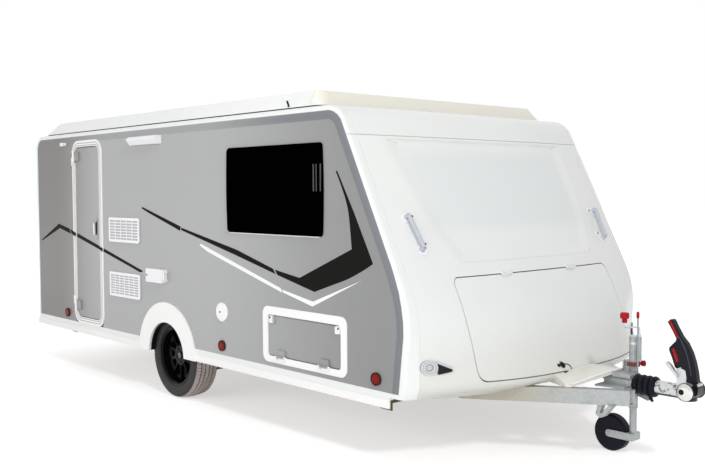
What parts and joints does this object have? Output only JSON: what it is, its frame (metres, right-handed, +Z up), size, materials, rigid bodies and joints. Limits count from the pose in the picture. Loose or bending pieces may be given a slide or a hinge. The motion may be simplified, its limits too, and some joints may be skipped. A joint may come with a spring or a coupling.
{
  "type": "travel caravan",
  "caption": "Low single-axle touring caravan with a lifting roof, entrance door, lockers, A-frame drawbar, ball coupling, jockey wheel and corner steadies.",
  "frame": {"origin": "on the ground under the middle of the whole vehicle, from the rear wall to the coupling", "axes": "+X forward towards the coupling, +Y to the vehicle's left, +Z up"},
  "size_m": [5.4808, 2.1728, 1.991],
  "materials": {
    "shell_white": "gloss white moulding",
    "wall_grey": "satin grey skin with black and white stripes",
    "floor_board": "plain board",
    "window_acrylic": "dark tinted acrylic",
    "galvanised_steel": "galvanised",
    "dark_steel": "black paint",
    "tyre_rubber": "worn tread",
    "black_alloy": "gloss black",
    "black_rubber": "satin",
    "bellows_fabric": "coated fabric",
    "bright_steel": "bright",
    "black_plastic": "satin",
    "marker_lens": "red lens",
    "clear_lens": "clear lens with a dark tail",
    "sill_grey": "pale sill"
  },
  "bodies": {
    "body": {"awning_light": "shell_white", "axle_tube": "dark_steel", "brake_lever": "bright_steel", "chassis_frame": "galvanised_steel", "coupling_head": "bright_steel", "door_frame": "shell_white", "drawbar_arms": "galvanised_steel", "drawbar_cover": "shell_white", "drawshaft": "bright_steel", "edge_trims": "shell_white", "floor_panel": "floor_board", "fridge_vents": "shell_white", "front_bulkhead": "floor_board", "front_lamps": "clear_lens", "front_shell": "shell_white", "gaiter": "black_rubber", "grab_handles": "bright_steel", "jockey_clamp": "galvanised_steel", "locker_frame": "shell_white", "overrun_housing": "galvanised_steel", "rear_lamps": "marker_lens", "rear_panel": "shell_white", "roof_bellows": "bellows_fabric", "roof_panel": "shell_white", "roof_seal": "black_rubber", "service_box": "shell_white", "side_markers": "marker_lens", "side_wall_left": "wall_grey", "side_wall_right": "wall_grey", "skirts": "sill_grey", "stabiliser_handle": "black_plastic", "steady_brackets": "galvanised_steel", "trailing_arms": "dark_steel", "water_filler": "shell_white", "wheel_arches": "shell_white", "wheel_boxes": "black_plastic", "windows": "window_acrylic"},
    "door": {"door_leaf": "wall_grey", "door_handle": "bright_steel"},
    "lifting_roof": {"lifting_roof": "shell_white"},
    "front_locker": {"front_locker_lid": "shell_white"},
    "side_locker": {"side_locker_door": "wall_grey"},
    "service_flap": {"service_flap": "shell_white"},
    "wheel_right": {"wheel_right": "black_alloy", "tyre_right": "tyre_rubber"},
    "wheel_left": {"wheel_left": "black_alloy", "tyre_left": "tyre_rubber"},
    "jockey_tube": {"jockey_tube": "galvanised_steel", "jockey_crank": "bright_steel"},
    "jockey_fork": {"jockey_fork": "galvanised_steel"},
    "jockey_wheel": {"jockey_wheel": "tyre_rubber"},
    "steady_rear_left": {"steady_rear_left": "dark_steel"},
    "steady_rear_right": {"steady_rear_right": "dark_steel"},
    "steady_front_left": {"steady_front_left": "dark_steel"},
    "steady_front_right": {"steady_front_right": "dark_steel"}
  },
  "joints": [
    {"name": "door_swing", "type": "hinge", "parent": "body", "child": "door", "pos_m": [-1.9355, -1.067, 1.12], "axis": [0, 0, -1], "range_deg": [0, 160]},
    {"name": "roof_lift", "type": "slide", "parent": "body", "child": "lifting_roof", "axis": [0, 0, 1], "range_m": [0, 0.42], "deforming": ["roof_bellows"]},
    {"name": "front_locker_lift", "type": "hinge", "parent": "body", "child": "front_locker", "pos_m": [1.76905, 0, 0.9685], "axis": [0, -1, 0], "range_deg": [0, 75]},
    {"name": "side_locker_swing", "type": "hinge", "parent": "body", "child": "side_locker", "pos_m": [0.915, -1.065, 0.461], "axis": [1, 0, 0], "range_deg": [0, 150]},
    {"name": "service_flap_swing", "type": "hinge", "parent": "body", "child": "service_flap", "pos_m": [-0.555, -1.0803, 0.847], "axis": [0, 0, 1], "range_deg": [0, 110]},
    {"name": "wheel_right_spin", "type": "hinge", "parent": "body", "child": "wheel_right", "pos_m": [-0.5745, -0.907, 0.2915], "axis": [0, 1, 0], "continuous": true},
    {"name": "wheel_left_spin", "type": "hinge", "parent": "body", "child": "wheel_left", "pos_m": [-0.5745, 0.907, 0.2915], "axis": [0, 1, 0], "continuous": true},
    {"name": "jockey_lift", "type": "slide", "parent": "body", "child": "jockey_tube", "axis": [0, 0, 1], "range_m": [0, 0.075]},
    {"name": "jockey_swivel", "type": "hinge", "parent": "jockey_tube", "child": "jockey_fork", "pos_m": [2.3105, 0.096, 0.262], "axis": [0, 0, 1], "continuous": true},
    {"name": "jockey_wheel_spin", "type": "hinge", "parent": "jockey_fork", "child": "jockey_wheel", "pos_m": [2.1865, 0.096, 0.1], "axis": [0, 1, 0], "continuous": true},
    {"name": "steady_rear_left_fold", "type": "hinge", "parent": "body", "child": "steady_rear_left", "pos_m": [-2.3745, 0.56, 0.291], "axis": [-1, 0, 0], "range_deg": [0, 55]},
    {"name": "steady_rear_right_fold", "type": "hinge", "parent": "body", "child": "steady_rear_right", "pos_m": [-2.3745, -0.56, 0.291], "axis": [1, 0, 0], "range_deg": [0, 55]},
    {"name": "steady_front_left_fold", "type": "hinge", "parent": "body", "child": "steady_front_left", "pos_m": [1.4055, 0.56, 0.291], "axis": [-1, 0, 0], "range_deg": [0, 55]},
    {"name": "steady_front_right_fold", "type": "hinge", "parent": "body", "child": "steady_front_right", "pos_m": [1.4055, -0.56, 0.291], "axis": [1, 0, 0], "range_deg": [0, 55]}
  ]
}
